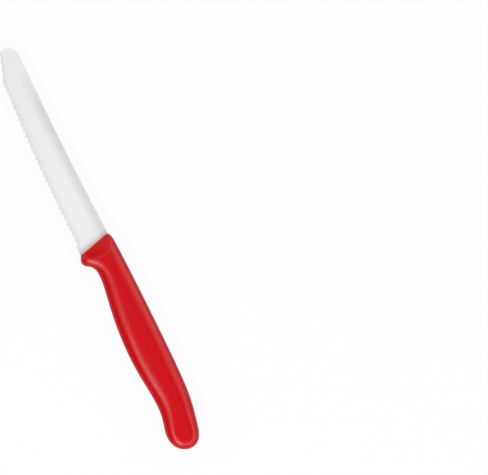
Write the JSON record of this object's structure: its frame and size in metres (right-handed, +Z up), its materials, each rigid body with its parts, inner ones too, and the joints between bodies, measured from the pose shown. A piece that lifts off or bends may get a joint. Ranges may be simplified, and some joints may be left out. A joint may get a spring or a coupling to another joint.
{
  "type": "tomato knife",
  "caption": "Serrated tomato knife: a round-tipped stamped steel blade whose hidden tang is moulded into a glossy red plastic handle.",
  "frame": {"origin": "middle of the flat side that the knife lies on, under the middle of the whole knife", "axes": "+X from the blade's tip to the handle's butt, +Y from the cutting edge to the back, +Z up out of the blade's left face, with the knife lying on its right side"},
  "size_m": [0.2292, 0.022, 0.012],
  "materials": {
    "blade_steel": "fine brushed stainless steel with ground scallops",
    "handle_plastic": "smooth glossy red polypropylene"
  },
  "bodies": {
    "root": {"blade": "blade_steel", "handle": "handle_plastic"}
  },
  "joints": []
}
